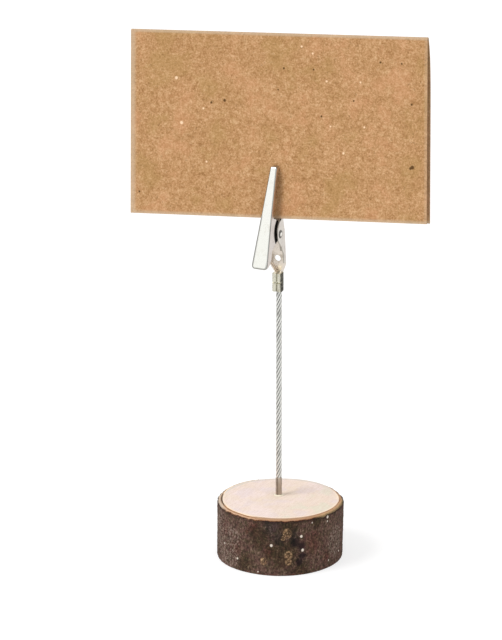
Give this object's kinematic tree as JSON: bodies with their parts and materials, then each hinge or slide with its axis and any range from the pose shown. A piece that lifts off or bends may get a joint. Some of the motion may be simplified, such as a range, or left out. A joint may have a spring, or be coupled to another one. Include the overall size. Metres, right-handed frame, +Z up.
{
  "type": "place card holder",
  "caption": "Place card holder: a slice of branch as a foot, a wire rope stem and a spring clip that grips a folded kraft card.",
  "frame": {"origin": "point under the stem's axis, on the flat sawn face that the slice of branch stands on", "axes": "+Z up along the stem, -Y to the front that the clip's lever faces, +X to the right along the clip's pivot pin"},
  "size_m": [0.0933, 0.0361, 0.152],
  "materials": {
    "bark": "rough dark bark",
    "inner_bark": "fibrous brown inner bark",
    "sawn_wood": "pale sanded end grain",
    "glue": "dried wood glue",
    "sleeve_steel": "pressed steel sleeve",
    "rope_steel": "galvanised wire",
    "clip_nickel": "bright nickel plate",
    "pin_steel": "nickel plated rivet",
    "spring_steel": "drawn spring wire",
    "kraft_card": "unbleached kraft board"
  },
  "bodies": {
    "stand": {"outer_bark": "bark", "inner_bark": "inner_bark", "wood_disc": "sawn_wood", "glue_cup": "glue", "end_sleeve": "sleeve_steel", "rope_core": "rope_steel", "rope_strand_1": "rope_steel", "rope_strand_2": "rope_steel", "rope_strand_3": "rope_steel", "rope_strand_4": "rope_steel", "rope_strand_5": "rope_steel", "rope_strand_6": "rope_steel", "rear_jaw": "clip_nickel", "pivot_pin": "pin_steel", "jaw_spring": "spring_steel"},
    "lever": {"front_jaw": "clip_nickel"},
    "card": {"place_card": "kraft_card"}
  },
  "joints": [
    {"name": "jaw_hinge", "type": "hinge", "parent": "stand", "child": "lever", "pos_m": [0, -0.0045, 0.094], "axis": [1, 0, 0], "range_deg": [0, 30], "stiffness_Nm_per_rad": 0.03, "springref_deg": -85.94, "deforming": ["jaw_spring"]},
    {"name": "card_lift", "type": "slide", "parent": "stand", "child": "card", "axis": [-0.095, 0.2095, 0.9732], "range_m": [0, 0.03]}
  ]
}
